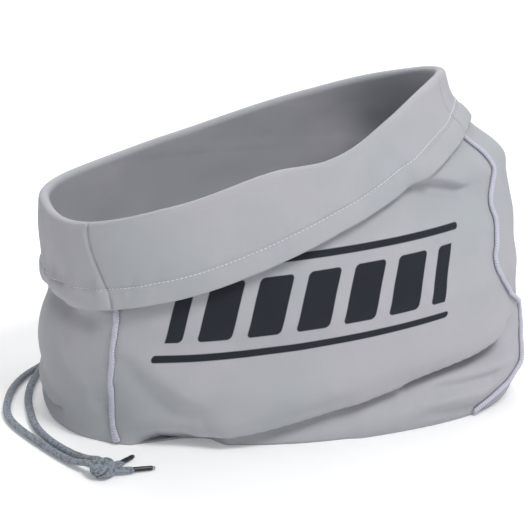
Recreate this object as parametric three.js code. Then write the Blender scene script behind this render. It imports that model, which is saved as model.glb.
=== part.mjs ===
// Drawstring bag for a motorcycle helmet, standing open on a flat surface in the form of a filled bag.
// Units are millimetres. +Z is up, +X is towards the raised end, -Y is the front.
// The origin is at the middle of the flat base.
import * as THREE from 'three';

// Overall form
const left_reach = 188;
const right_reach = 194;
const front_reach = 127;
const back_reach = 125;
const rim_height = 258;

// Cloth, cuff and hem
const cloth_wall = 1.6;
const hem_wall = 2.8;
const hem_band = 15;
const cuff_width = 64;
const cuff_stand_off = 7;
const cuff_settle_share = 0.67;
const hem_step_share = 0.25;
const roll_radius = 4.5;
const panel_gap = 0.3;
const base_seam_left = 12;
const base_seam_forward = 81;

// Overlocked side seams
const seam_width = 5;
const seam_thickness = 1.8;
const seam_flat_share = 0.6;
const seam_clearance = 0.35;
const seam_top_under_cuff = 12;
const seam_foot = 3;

// Fold relief
const fold_depth = 10;
const fold_width = 16;

// Drawcord, knot and moulded tips
const cord_diameter = 5.5;
const cord_sides = 8;
const knot_width = 18;
const knot_height = 14.6;
const knot_lift = 0.1;
const tail_length = 13;
const tail_bend_share = 0.3;
const tail_rise = 0.4;
const aglet_length = 17;
const aglet_diameter = 3.6;
const aglet_tip_diameter = 3;
const end_gap = 0.3;

// Mesh fineness
const front_columns = 32;
const back_columns = 46;
const base_rings = 3;
const strand_steps = 30;
const tail_steps = 6;
const wall_rows = 16;
const wall_row_crowding = 1.35;
const roll_rows = 4;
const cuff_rows = 5;
const knot_sides = 16;
const knot_rings = 10;
const aglet_sides = 12;

// Plan of the body by level. level is a share of rim_height and the four reaches are shares of the named
// reaches. The round columns give the fullness of the front corners, 2 for an ellipse. back_round does so
// for the back.
const sections = [
  { level: 0.00, left: 0.98, right: 0.95, front: 0.94, back: 0.90, round_left: 2.3, round_right: 2.7 },
  { level: 0.02, left: 0.99, right: 0.97, front: 0.95, back: 0.94, round_left: 2.3, round_right: 2.7 },
  { level: 0.06, left: 1.00, right: 0.99, front: 0.96, back: 0.97, round_left: 2.3, round_right: 2.7 },
  { level: 0.14, left: 1.00, right: 1.00, front: 0.98, back: 0.99, round_left: 2.2, round_right: 2.7 },
  { level: 0.24, left: 1.00, right: 0.99, front: 1.00, back: 1.00, round_left: 2.2, round_right: 2.6 },
  { level: 0.36, left: 0.97, right: 0.98, front: 0.99, back: 1.00, round_left: 2.2, round_right: 2.5 },
  { level: 0.46, left: 0.95, right: 0.98, front: 0.97, back: 0.98, round_left: 2.3, round_right: 2.3 },
  { level: 0.56, left: 0.95, right: 0.99, front: 0.94, back: 0.95, round_left: 2.4, round_right: 2.1 },
  { level: 0.66, left: 0.94, right: 0.98, front: 0.90, back: 0.92, round_left: 2.4, round_right: 1.8 },
  { level: 0.72, left: 0.93, right: 0.97, front: 0.88, back: 0.90, round_left: 2.4, round_right: 1.6 },
  { level: 0.80, left: 0.93, right: 0.84, front: 0.85, back: 0.87, round_left: 2.4, round_right: 1.5 },
  { level: 0.90, left: 0.89, right: 0.71, front: 0.82, back: 0.84, round_left: 2.4, round_right: 1.5 },
  { level: 1.00, left: 0.87, right: 0.66, front: 0.80, back: 0.82, round_left: 2.4, round_right: 1.5 },
];
const back_round = 2.3;

// Mouth edge round the bag. turn is a share of a full turn from the +X end towards the back, height is
// a share of rim_height, drop is a share of cuff_width and stand a share of cuff_stand_off.
const mouth = [
  { turn: 0.00, height: 0.98, drop: 0.55, stand: 0.8 },
  { turn: 0.08, height: 0.93, drop: 0.75, stand: 0.8 },
  { turn: 0.16, height: 0.86, drop: 0.90, stand: 1.0 },
  { turn: 0.25, height: 0.79, drop: 0.97, stand: 1.0 },
  { turn: 0.34, height: 0.72, drop: 0.97, stand: 1.0 },
  { turn: 0.41, height: 0.67, drop: 0.97, stand: 0.8 },
  { turn: 0.49, height: 0.65, drop: 0.95, stand: 0.7 },
  { turn: 0.55, height: 0.64, drop: 0.93, stand: 0.8 },
  { turn: 0.61, height: 0.70, drop: 0.98, stand: 1.0 },
  { turn: 0.69, height: 0.79, drop: 0.96, stand: 1.1 },
  { turn: 0.76, height: 0.82, drop: 0.74, stand: 1.0 },
  { turn: 0.85, height: 0.91, drop: 0.70, stand: 0.9 },
  { turn: 0.93, height: 0.97, drop: 0.66, stand: 0.85 },
];

// Side seams by level, each with its turn round the bag
const left_seam_path = [
  { level: 0.00, turn: 0.580 },
  { level: 0.10, turn: 0.577 },
  { level: 0.40, turn: 0.582 },
  { level: 0.50, turn: 0.574 },
  { level: 0.62, turn: 0.562 },
  { level: 1.00, turn: 0.558 },
];
const right_seam_path = [
  { level: 0.00, turn: 0.886 },
  { level: 0.10, turn: 0.922 },
  { level: 0.20, turn: 0.946 },
  { level: 0.27, turn: 0.952 },
  { level: 0.35, turn: 0.926 },
  { level: 0.45, turn: 0.911 },
  { level: 0.60, turn: 0.928 },
  { level: 0.72, turn: 0.949 },
  { level: 1.00, turn: 0.951 },
];

// Main folds of the body. Each runs from one turn and level to another. width is a share of fold_width
// and depth a share of fold_depth, outwards where it is positive.
const folds = [
  { from_turn: 0.650, from_level: 0.080, to_turn: 0.900, to_level: 0.290, width: 1.0, depth: 0.35 },
  { from_turn: 0.670, from_level: 0.020, to_turn: 0.920, to_level: 0.225, width: 0.8, depth: -0.75 },
  { from_turn: 0.790, from_level: 0.040, to_turn: 0.930, to_level: 0.120, width: 0.8, depth: 0.40 },
  { from_turn: 0.860, from_level: 0.770, to_turn: 0.940, to_level: 0.730, width: 0.9, depth: 0.40 },
  { from_turn: 0.850, from_level: 0.690, to_turn: 0.920, to_level: 0.650, width: 0.9, depth: -0.45 },
  { from_turn: 0.535, from_level: 0.250, to_turn: 0.575, to_level: 0.080, width: 0.9, depth: -0.40 },
  { from_turn: 0.470, from_level: 0.140, to_turn: 0.530, to_level: 0.070, width: 0.8, depth: -0.35 },
  { from_turn: 0.060, from_level: 0.260, to_turn: 0.240, to_level: 0.100, width: 1.0, depth: -0.45 },
  { from_turn: 0.200, from_level: 0.480, to_turn: 0.420, to_level: 0.300, width: 1.2, depth: -0.40 },
  { from_turn: 0.280, from_level: 0.120, to_turn: 0.440, to_level: 0.180, width: 1.0, depth: 0.35 },
  { from_turn: 0.608, from_level: 0.000, to_turn: 0.645, to_level: 0.010, width: 0.8, depth: -1.70 },
  { from_turn: 0.430, from_level: 0.350, to_turn: 0.530, to_level: 0.370, width: 0.8, depth: -0.50 },
];

// Steps over which directions on the cloth are measured, in shares of a turn and of a stretch of cloth
const turn_step = 0.004;
const stretch_step = 0.01;
const seam_passes = 6;

// Middle of the knot in plan, and the directions in which the cord ends leave it, in degrees from +X
const knot_place = new THREE.Vector2(-170.5, -134.5);
const outer_strand_angle = 131;
const inner_strand_angle = 92;
const tail_angles = [42, 1];

// Route of each free strand of the drawcord from the hem to the knot
const outer_route = [
  [-151, 87, 105], [-152.5, 88.5, 92], [-154.5, 90, 72], [-156, 92, 50], [-158, 96, 30],
  [-161, 101, 15], [-167, 102, 6.5], [-176, 95, 3.2], [-187, 83, 2.9], [-198, 66, 2.9],
  [-207, 46, 2.9], [-213, 25, 2.9], [-217, 4, 2.9], [-217, -16, 2.9], [-213, -36, 2.9],
  [-207, -56, 2.9], [-200, -77, 2.9], [-193, -96, 3], [-187, -110, 3.8],
];
const inner_route = [
  [-162, 75.6, 104.1], [-163.5, 77, 92], [-165.5, 78.5, 72], [-167, 80, 50], [-169, 83, 30],
  [-172, 85.5, 14], [-177, 83, 5.8], [-183, 73, 3.2], [-189, 57, 2.9], [-194, 39, 2.9],
  [-198, 18, 2.9], [-200, -4, 2.9], [-201, -26, 2.9], [-199, -48, 2.9], [-193, -72, 2.9],
  [-184, -94, 3], [-176, -108, 4],
];

// Colour, roughness and metalness of each finish
const finishes = {
  cloth: { color: 0xb4b6be, roughness: 0.9, metalness: 0 },
  overlock: { color: 0xc9c8d4, roughness: 0.85, metalness: 0 },
  cord: { color: 0x7c838a, roughness: 0.85, metalness: 0 },
  tip: { color: 0x1c1d20, roughness: 0.4, metalness: 0 },
};

// A smooth value between the rows of a table, with the slope taken from the neighbours.
function smooth_between(before, first, second, after, share) {
  const slope_first = (second - before) / 2;
  const slope_second = (after - first) / 2;
  const cube = share * share * share;
  const square = share * share;
  return (2 * cube - 3 * square + 1) * first + (cube - 2 * square + share) * slope_first
    + (3 * square - 2 * cube) * second + (cube - square) * slope_second;
}

// Reads one column of a table that is ordered by level.
function by_level(table, column, level) {
  const last = table.length - 1;
  const held = Math.min(Math.max(level, table[0].level), table[last].level);
  let row = 0;
  while (row < last - 1 && table[row + 1].level < held) row += 1;
  const span = table[row + 1].level - table[row].level;
  const share = (held - table[row].level) / span;
  const before = table[Math.max(row - 1, 0)][column];
  const after = table[Math.min(row + 2, last)][column];
  return smooth_between(before, table[row][column], table[row + 1][column], after, share);
}

// Reads one column of a table that is ordered by turn and closes on itself.
function by_turn(table, column, turn) {
  const count = table.length;
  const held = turn - Math.floor(turn);
  let row = count - 1;
  while (row > 0 && table[row].turn > held) row -= 1;
  const next = (row + 1) % count;
  const span = (table[next].turn - table[row].turn + 1) % 1;
  const share = (held - table[row].turn) / span;
  const before = table[(row + count - 1) % count][column];
  const after = table[(row + 2) % count][column];
  return smooth_between(before, table[row][column], table[next][column], after, share);
}

// Plan point of the plain body, before its folds.
function plain_plan(turn, level) {
  const cosine = Math.cos(2 * Math.PI * turn);
  const sine = Math.sin(2 * Math.PI * turn);
  const along = cosine > 0
    ? right_reach * by_level(sections, 'right', level)
    : left_reach * by_level(sections, 'left', level);
  const across = sine > 0
    ? back_reach * by_level(sections, 'back', level)
    : front_reach * by_level(sections, 'front', level);
  const round_front = by_level(sections, cosine > 0 ? 'round_right' : 'round_left', level);
  const power = sine > 0 ? back_round : round_front;
  const sum = Math.pow(Math.abs(cosine) / along, power) + Math.pow(Math.abs(sine) / across, power);
  const radius = Math.pow(sum, -1 / power);
  return new THREE.Vector2(radius * cosine, radius * sine);
}

// Outward direction of the plan at a turn and level.
function plan_outward(turn, level) {
  const ahead = plain_plan(turn + turn_step, level);
  const behind = plain_plan(turn - turn_step, level);
  const tangent = ahead.sub(behind).normalize();
  return new THREE.Vector2(tangent.y, -tangent.x);
}

// Outward shift that the folds give at a turn and level.
function fold_shift(turn, level) {
  const girth = Math.PI * (left_reach + right_reach + front_reach + back_reach) / 2;
  let shift = 0;
  for (const fold of folds) {
    const run_x = (fold.to_turn - fold.from_turn) * girth;
    const run_z = (fold.to_level - fold.from_level) * rim_height;
    const held = turn - Math.floor(turn);
    const point_x = (held - fold.from_turn) * girth;
    const point_z = (level - fold.from_level) * rim_height;
    const run = Math.hypot(run_x, run_z);
    const along = (point_x * run_x + point_z * run_z) / run;
    const away = (point_z * run_x - point_x * run_z) / run;
    const width = fold.width * fold_width;
    const beyond = Math.max(0, -along, along - run) / width;
    shift += fold.depth * fold_depth * Math.exp(-(away * away) / (width * width) - beyond * beyond);
  }
  return shift;
}

// Plan point of the body with its folds, which fade out towards the flat base.
function body_plan(turn, level, stand_off) {
  const point = plain_plan(turn, level);
  const outward = plan_outward(turn, level);
  return point.addScaledVector(outward, fold_shift(turn, level) + stand_off);
}

// Height of the mid surface where the rolled mouth edge begins.
function roll_start(turn) {
  return by_turn(mouth, 'height', turn) * rim_height - roll_radius;
}

// Mid surface of the cloth. place names the stretch and share runs along it.
function cloth_point(turn, place, share) {
  const floor = cloth_wall / 2;
  if (place === 'base') {
    const edge = body_plan(turn, 0, 0);
    const middle = new THREE.Vector2(-base_seam_left, -base_seam_forward);
    const point = middle.lerp(edge, share);
    return new THREE.Vector3(point.x, point.y, floor);
  }
  const top = roll_start(turn);
  if (place === 'wall') {
    const height = floor + (top - floor) * share;
    const point = body_plan(turn, height / rim_height, 0);
    return new THREE.Vector3(point.x, point.y, height);
  }
  if (place === 'roll') {
    const angle = Math.PI * share;
    const height = top + roll_radius * Math.sin(angle);
    const point = body_plan(turn, top / rim_height, roll_radius * (1 - Math.cos(angle)));
    return new THREE.Vector3(point.x, point.y, height);
  }
  const drop = by_turn(mouth, 'drop', turn) * cuff_width;
  const stand = by_turn(mouth, 'stand', turn) * cuff_stand_off;
  const height = top - drop * share;
  const settled = Math.min(1, share / cuff_settle_share);
  const stand_off = 2 * roll_radius + (stand - 2 * roll_radius) * settled;
  const point = body_plan(turn, height / rim_height, stand_off);
  return new THREE.Vector3(point.x, point.y, height);
}

// Rows of the cloth from the middle of the base to the hem.
function cloth_rows() {
  const rows = [];
  for (let ring = 0; ring < base_rings; ring += 1) {
    rows.push({ place: 'base', share: ring / base_rings, wall: cloth_wall });
  }
  for (let row = 0; row <= wall_rows; row += 1) {
    rows.push({ place: 'wall', share: Math.pow(row / wall_rows, wall_row_crowding), wall: cloth_wall });
  }
  for (let row = 1; row < roll_rows; row += 1) {
    rows.push({ place: 'roll', share: row / roll_rows, wall: cloth_wall });
  }
  const hem_start = 1 - hem_band / cuff_width;
  for (let row = 0; row <= cuff_rows; row += 1) {
    rows.push({ place: 'cuff', share: hem_start * row / cuff_rows, wall: cloth_wall });
  }
  rows.push({ place: 'cuff', share: hem_start + hem_step_share * (1 - hem_start), wall: hem_wall });
  rows.push({ place: 'cuff', share: 1, wall: hem_wall });
  return rows;
}

// Turn at which a side seam crosses a row.
function seam_turn(path, row) {
  let turn = path[0].turn;
  for (let pass = 0; pass < seam_passes; pass += 1) {
    const level = cloth_point(turn, row.place, row.share).z / rim_height;
    turn = by_level(path, 'turn', level);
  }
  return turn;
}

// Turn of a column that lies a share of the way from one seam to the other on a row.
function column_turn(panel, row, share) {
  const left = seam_turn(left_seam_path, row);
  const right = seam_turn(right_seam_path, row);
  if (panel === 'front') return left + (right - left) * share;
  return right - 1 + (left - right + 1) * share;
}

// Point of the cloth at a turn and row, its outward direction and its direction round the bag.
function cloth_frame(turn, row) {
  const point = cloth_point(turn, row.place, row.share);
  const ahead = cloth_point(turn + turn_step, row.place, row.share);
  const behind = cloth_point(turn - turn_step, row.place, row.share);
  const round = ahead.sub(behind).normalize();
  if (row.place === 'base') return { point, outward: new THREE.Vector3(0, 0, -1), round };
  const outward = new THREE.Vector3().crossVectors(round, row_direction(turn, row)).normalize();
  return { point, outward, round };
}

// Direction in which the cloth runs on from a row towards the hem.
function row_direction(turn, row) {
  const low = Math.max(0, row.share - stretch_step);
  const high = Math.min(1, row.share + stretch_step);
  const start = cloth_point(turn, row.place, low);
  const end = cloth_point(turn, row.place, high);
  const direction = end.sub(start).normalize();
  if (row.place === 'wall' && row.share === 0) {
    const across = cloth_point(turn, 'base', 1).sub(cloth_point(turn, 'base', 0)).normalize();
    direction.add(across).normalize();
  }
  return direction;
}

// One cloth panel as a closed shell of even thickness.
function panel_geometry(panel, columns) {
  const rows = cloth_rows();
  const outer = [];
  const inner = [];
  const side = panel === 'front' ? -1 : 1;
  for (const row of rows) {
    const outer_row = [];
    const inner_row = [];
    for (let column = 0; column <= columns; column += 1) {
      const frame = cloth_frame(column_turn(panel, row, column / columns), row);
      const point = frame.point;
      if (row.place === 'base' && row.share === 0) {
        point.y += side * panel_gap / 2;
      } else if (column === 0) {
        point.addScaledVector(frame.round, panel_gap / 2);
      } else if (column === columns) {
        point.addScaledVector(frame.round, -panel_gap / 2);
      }
      outer_row.push(point.clone().addScaledVector(frame.outward, row.wall / 2));
      inner_row.push(point.clone().addScaledVector(frame.outward, -row.wall / 2));
    }
    outer.push(outer_row);
    inner.push(inner_row);
  }
  return shell_geometry(outer, inner);
}

// Closes two like grids of points into one solid with its faces pointing out.
function shell_geometry(outer, inner) {
  const positions = [];
  const quad = (a, b, c, d) => {
    for (const [p, q, r] of [[a, b, c], [a, c, d]]) {
      const flat = p.distanceTo(q) < 1e-3 || q.distanceTo(r) < 1e-3 || r.distanceTo(p) < 1e-3;
      if (!flat) positions.push(...p.toArray(), ...q.toArray(), ...r.toArray());
    }
  };
  const last_row = outer.length - 1;
  const last_column = outer[0].length - 1;
  for (let row = 0; row < last_row; row += 1) {
    for (let column = 0; column < last_column; column += 1) {
      quad(outer[row][column], outer[row][column + 1], outer[row + 1][column + 1], outer[row + 1][column]);
      quad(inner[row][column], inner[row + 1][column], inner[row + 1][column + 1], inner[row][column + 1]);
    }
    quad(outer[row][0], outer[row + 1][0], inner[row + 1][0], inner[row][0]);
    quad(outer[row][last_column], inner[row][last_column], inner[row + 1][last_column],
      outer[row + 1][last_column]);
  }
  for (let column = 0; column < last_column; column += 1) {
    quad(outer[last_row][column], outer[last_row][column + 1], inner[last_row][column + 1],
      inner[last_row][column]);
    quad(outer[0][column + 1], outer[0][column], inner[0][column], inner[0][column + 1]);
  }
  const geometry = new THREE.BufferGeometry();
  geometry.setAttribute('position', new THREE.Float32BufferAttribute(positions, 3));
  geometry.computeVertexNormals();
  return geometry;
}

// Overlocked edge of a side seam: a flat rib that follows the rows of the wall outside the join.
function seam_geometry(path) {
  const hem_turn = seam_turn(path, { place: 'cuff', share: 1 });
  const top = cloth_point(hem_turn, 'cuff', 1).z + seam_top_under_cuff;
  const rows = cloth_rows().filter((row) => row.place === 'wall');
  const all = rows.map((row) => cloth_frame(seam_turn(path, row), row));
  const frames = all.filter((frame) => frame.point.z > seam_foot && frame.point.z < top);
  const above = all[all.indexOf(frames[frames.length - 1]) + 1];
  const below = all[all.indexOf(frames[0]) - 1];
  frames.push(frame_between(frames[frames.length - 1], above, top));
  frames.unshift(frame_between(below, frames[0], seam_foot));
  return rib_geometry(frames);
}

// Frame at a height between two frames of the same seam.
function frame_between(low, high, height) {
  const share = (height - low.point.z) / (high.point.z - low.point.z);
  return {
    point: low.point.clone().lerp(high.point, share),
    outward: low.outward.clone().lerp(high.outward, share).normalize(),
    round: low.round.clone().lerp(high.round, share).normalize(),
  };
}

// Closed rib through a row of frames, with six sides and flat ends.
function rib_geometry(frames) {
  const lift = cloth_wall / 2 + seam_clearance + seam_thickness / 2;
  const half_width = seam_width / 2;
  const half_thick = seam_thickness / 2;
  const half_flat = half_width * seam_flat_share;
  const outline = [
    [half_width, 0], [half_flat, half_thick], [-half_flat, half_thick],
    [-half_width, 0], [-half_flat, -half_thick], [half_flat, -half_thick],
  ];
  const rings = [];
  for (const frame of frames) {
    const middle = frame.point.clone().addScaledVector(frame.outward, lift);
    const ring = [];
    for (const [across, away] of outline) {
      ring.push(middle.clone().addScaledVector(frame.round, across).addScaledVector(frame.outward, away));
    }
    rings.push(ring);
  }
  const positions = [];
  const triangle = (a, b, c) => positions.push(...a.toArray(), ...b.toArray(), ...c.toArray());
  const sides = outline.length;
  for (let step = 0; step < rings.length - 1; step += 1) {
    for (let side = 0; side < sides; side += 1) {
      const next = (side + 1) % sides;
      triangle(rings[step][side], rings[step + 1][side], rings[step + 1][next]);
      triangle(rings[step][side], rings[step + 1][next], rings[step][next]);
    }
  }
  const last = rings[rings.length - 1];
  for (let side = 1; side < sides - 1; side += 1) {
    triangle(rings[0][0], rings[0][side], rings[0][side + 1]);
    triangle(last[0], last[side + 1], last[side]);
  }
  const geometry = new THREE.BufferGeometry();
  geometry.setAttribute('position', new THREE.Float32BufferAttribute(positions, 3));
  geometry.computeVertexNormals();
  return geometry;
}

// Level direction at an angle in degrees from +X.
function level_direction(degrees) {
  const angle = THREE.MathUtils.degToRad(degrees);
  return new THREE.Vector3(Math.cos(angle), Math.sin(angle), 0);
}

// Middle of the knot.
function knot_middle() {
  return new THREE.Vector3(knot_place.x, knot_place.y, knot_height / 2 + knot_lift);
}

// Closed tube along a smooth curve through a list of points.
function tube_geometry(points, steps) {
  const section = new THREE.Shape();
  for (let side = 0; side < cord_sides; side += 1) {
    const angle = 2 * Math.PI * side / cord_sides;
    const x = cord_diameter / 2 * Math.cos(angle);
    const y = cord_diameter / 2 * Math.sin(angle);
    if (side === 0) section.moveTo(x, y);
    else section.lineTo(x, y);
  }
  section.closePath();
  const path = new THREE.CatmullRomCurve3(points);
  return new THREE.ExtrudeGeometry(section, { steps, extrudePath: path, bevelEnabled: false });
}

// One free strand of the drawcord, which ends just short of the knot.
function strand_geometry(route, angle) {
  const points = route.map((place) => new THREE.Vector3(...place));
  const reach = knot_width / 2 + end_gap;
  points.push(knot_middle().addScaledVector(level_direction(angle), reach + cord_diameter));
  points.push(knot_middle().addScaledVector(level_direction(angle), reach));
  return tube_geometry(points, strand_steps);
}

// Overhand knot in its outer form.
function knot_geometry() {
  const geometry = new THREE.SphereGeometry(knot_width / 2, knot_sides, knot_rings);
  geometry.scale(1, 1, knot_height / knot_width);
  return geometry;
}

// Start, end and direction of a tail as it comes down from the knot to the surface.
function tail_run(angle) {
  const direction = level_direction(angle);
  const start = knot_middle().addScaledVector(direction, knot_width / 2 + end_gap);
  const end = start.clone().addScaledVector(direction, tail_length);
  end.z = cord_diameter / 2 + knot_lift;
  return { start, end, direction };
}

// Short tail of cord between the knot and its tip.
function tail_geometry(angle) {
  const run = tail_run(angle);
  const level_start = run.start.clone().addScaledVector(run.direction, tail_length * tail_bend_share);
  const level_end = run.end.clone().addScaledVector(run.direction, -tail_length * tail_bend_share);
  level_end.z += tail_rise;
  return tube_geometry([run.start, level_start, level_end, run.end], tail_steps);
}

// Moulded tip, lying level past the end of its tail.
function aglet_mesh(name, angle) {
  const tip_radius = aglet_tip_diameter / 2;
  const geometry = new THREE.CylinderGeometry(tip_radius, aglet_diameter / 2, aglet_length, aglet_sides);
  const mesh = piece(name, geometry, 'tip');
  const run = tail_run(angle);
  const lean = (cord_diameter - aglet_diameter) / 2 / aglet_length;
  const direction = run.direction.clone().setZ(-lean).normalize();
  mesh.position.copy(run.end).addScaledVector(direction, end_gap + aglet_length / 2);
  mesh.quaternion.setFromUnitVectors(new THREE.Vector3(0, 1, 0), direction);
  return mesh;
}

// Makes a named mesh in one of the finishes.
function piece(name, geometry, finish) {
  const mesh = new THREE.Mesh(geometry, new THREE.MeshStandardMaterial(finishes[finish]));
  mesh.name = name;
  return mesh;
}

const bag = new THREE.Group();
bag.name = 'helmet_bag';
bag.add(piece('front_panel', panel_geometry('front', front_columns), 'cloth'));
bag.add(piece('back_panel', panel_geometry('back', back_columns), 'cloth'));
bag.add(piece('left_side_seam', seam_geometry(left_seam_path), 'overlock'));
bag.add(piece('right_side_seam', seam_geometry(right_seam_path), 'overlock'));
bag.add(piece('drawcord_outer', strand_geometry(outer_route, outer_strand_angle), 'cord'));
bag.add(piece('drawcord_inner', strand_geometry(inner_route, inner_strand_angle), 'cord'));
const knot = piece('drawcord_knot', knot_geometry(), 'cord');
knot.position.copy(knot_middle());
bag.add(knot);
tail_angles.forEach((angle, index) => {
  bag.add(piece(`drawcord_tail_${index + 1}`, tail_geometry(angle), 'cord'));
  bag.add(aglet_mesh(`aglet_${index + 1}`, angle));
});

export default bag;
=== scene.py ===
import math

import bmesh
import bpy
import numpy as np
from mathutils import Matrix, Vector, noise


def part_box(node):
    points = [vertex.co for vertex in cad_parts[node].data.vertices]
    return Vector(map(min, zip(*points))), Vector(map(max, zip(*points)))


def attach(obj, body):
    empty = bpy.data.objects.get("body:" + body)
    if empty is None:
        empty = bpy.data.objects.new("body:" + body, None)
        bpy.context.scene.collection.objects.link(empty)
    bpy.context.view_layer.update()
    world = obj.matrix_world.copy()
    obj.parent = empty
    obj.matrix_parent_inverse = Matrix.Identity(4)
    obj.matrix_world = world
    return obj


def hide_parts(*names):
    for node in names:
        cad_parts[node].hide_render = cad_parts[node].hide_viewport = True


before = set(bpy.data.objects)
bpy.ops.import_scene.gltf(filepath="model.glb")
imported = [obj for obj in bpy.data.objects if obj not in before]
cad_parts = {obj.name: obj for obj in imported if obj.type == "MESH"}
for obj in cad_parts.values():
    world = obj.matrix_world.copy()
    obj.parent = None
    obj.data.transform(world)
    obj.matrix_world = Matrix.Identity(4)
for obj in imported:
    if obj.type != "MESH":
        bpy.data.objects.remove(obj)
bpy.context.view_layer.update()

# Camera
# The view from slightly left of the front and a little above, through a long lens, so that the bag
# keeps its proportions. The target lies near the middle of the bag.
camera_target = Vector((-0.012, 0.0, 0.106))
camera_distance = 1.3
camera_azimuth = math.radians(-17)
camera_rise = math.radians(16.5)
away = Vector((
    math.sin(camera_azimuth) * math.cos(camera_rise),
    -math.cos(camera_azimuth) * math.cos(camera_rise),
    math.sin(camera_rise),
))
camera_data = bpy.data.cameras.new("camera")
camera_data.lens = 113.4
camera_data.sensor_width = 36
camera = bpy.data.objects.new("camera", camera_data)
camera.location = camera_target + away * camera_distance
camera.rotation_euler = (-away).to_track_quat("-Z", "Y").to_euler()
bpy.context.scene.collection.objects.link(camera)
bpy.context.scene.camera = camera


# Drawcord
# A soft round braid of mid grey polyester yarn, flattened a little where it lies. Both ends leave the
# hem at the back left, come down the bag and run along the surface to one knot.
cord_width = 0.0062
cord_thickness = 0.0048
cord_diameter = 0.0055
braid_cells_round = 8
braid_cell_length = 0.0026
braid_relief = 0.00022
samples_per_cell = 4
curve_steps = 24
merge_distance = 1e-7

outer_route = [
    (-151, 87, 105), (-152.5, 88.5, 92), (-154.5, 90, 72), (-156, 92, 50), (-158, 96, 30),
    (-161, 101, 15), (-167, 102, 6.5), (-176, 95, 3.2), (-187, 83, 2.9), (-198, 66, 2.9),
    (-207, 46, 2.9), (-213, 25, 2.9), (-217, 4, 2.9), (-217, -16, 2.9), (-213, -36, 2.9),
    (-207, -56, 2.9), (-200, -77, 2.9), (-193, -96, 3), (-187, -110, 3.8),
]
inner_route = [
    (-162, 75.6, 104.1), (-163.5, 77, 92), (-165.5, 78.5, 72), (-167, 80, 50), (-169, 83, 30),
    (-172, 85.5, 14), (-177, 83, 5.8), (-183, 73, 3.2), (-189, 57, 2.9), (-194, 39, 2.9),
    (-198, 18, 2.9), (-200, -4, 2.9), (-201, -26, 2.9), (-199, -48, 2.9), (-193, -72, 2.9),
    (-184, -94, 3), (-176, -108, 4),
]
knot_low, knot_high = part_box("drawcord_knot")
knot_middle = (knot_low + knot_high) / 2
knot_reach = (knot_high.x - knot_low.x) / 2


def metres(route):
    return [Vector(place) / 1000 for place in route]


def level_direction(degrees):
    return Vector((math.cos(math.radians(degrees)), math.sin(math.radians(degrees)), 0))


def smooth_between(before, first, second, after, share):
    """Smooth step from first to second, led by the values before and after them."""
    slope_first, slope_second = (second - before) / 2, (after - first) / 2
    square, cube = share ** 2, share ** 3
    return (
        (2 * cube - 3 * square + 1) * first + (cube - 2 * square + share) * slope_first
        + (3 * square - 2 * cube) * second + (cube - square) * slope_second
    )


def smooth_path(points, spacing):
    """Points at an even spacing on a smooth curve through a few."""
    fine = []
    for index in range(len(points) - 1):
        before, first = points[max(index - 1, 0)], points[index]
        second, after = points[index + 1], points[min(index + 2, len(points) - 1)]
        for step in range(curve_steps):
            fine.append(smooth_between(before, first, second, after, step / curve_steps))
    fine.append(points[-1].copy())
    run = [0.0]
    for index in range(1, len(fine)):
        run.append(run[-1] + (fine[index] - fine[index - 1]).length)
    count = max(2, round(run[-1] / spacing))
    places = np.interp(np.linspace(0, run[-1], count + 1), run, np.arange(len(fine)))
    even = []
    for place in places:
        low = min(int(place), len(fine) - 2)
        even.append(fine[low].lerp(fine[low + 1], place - low))
    return even


def path_length(points):
    return sum((points[index + 1] - points[index]).length for index in range(len(points) - 1))


def side_directions(points, smoothing):
    """Level direction across a path at each of its points, evened out along it."""
    sides = []
    for index in range(len(points)):
        ahead = points[min(index + 1, len(points) - 1)]
        behind = points[max(index - 1, 0)]
        across = (ahead - behind).cross(Vector((0, 0, 1)))
        sides.append(across.normalized())
    even = []
    for index in range(len(points)):
        near = sides[max(index - smoothing, 0):index + smoothing + 1]
        even.append(sum(near, Vector()).normalized())
    return even


def braid_height(round_cells, along_cells):
    """Height of a plain braid, 0 in its gaps and 1 on its strands, by its two diagonal cell counts."""
    first, second = round_cells + along_cells, round_cells - along_cells
    over = (math.floor(first) + math.floor(second)) % 2 == 0
    strand = second if over else first
    cross = first if over else second
    crown = math.sin(math.pi * (strand - math.floor(strand)))
    arch = math.sin(math.pi * (cross - math.floor(cross)))
    return 0.25 + 0.75 * math.sqrt(max(crown, 0)) * (0.55 + 0.45 * arch) if crown > 0 else 0.0


def braided_tube(name, points, sides, width, thickness, end_round=0.0012):
    """A braided cord of an oval section along a path, as a grid wrapped round it."""
    steps = len(points) - 1
    round_steps = braid_cells_round * samples_per_cell
    spacing = path_length(points) / steps
    total = spacing * steps

    def yarn_point(place, turn):
        angle = 2 * math.pi * turn / round_steps
        along = place * spacing
        tangent = (points[min(place + 1, steps)] - points[max(place - 1, 0)]).normalized()
        side = sides[place]
        up = side.cross(tangent).normalized()
        height = braid_height(braid_cells_round * turn / round_steps, along / braid_cell_length)
        to_end = min(along, total - along)
        close = min(1.0, to_end / end_round)
        taper = 0.55 + 0.45 * math.sqrt(1 - (1 - close) ** 2)
        radius_side = (width / 2 - braid_relief + braid_relief * height) * taper
        radius_up = (thickness / 2 - braid_relief + braid_relief * height) * taper
        aside = side * radius_side * math.cos(angle)
        return points[place] + aside + up * radius_up * math.sin(angle), height

    return wrapped_tube(name, steps, round_steps, yarn_point)


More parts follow.
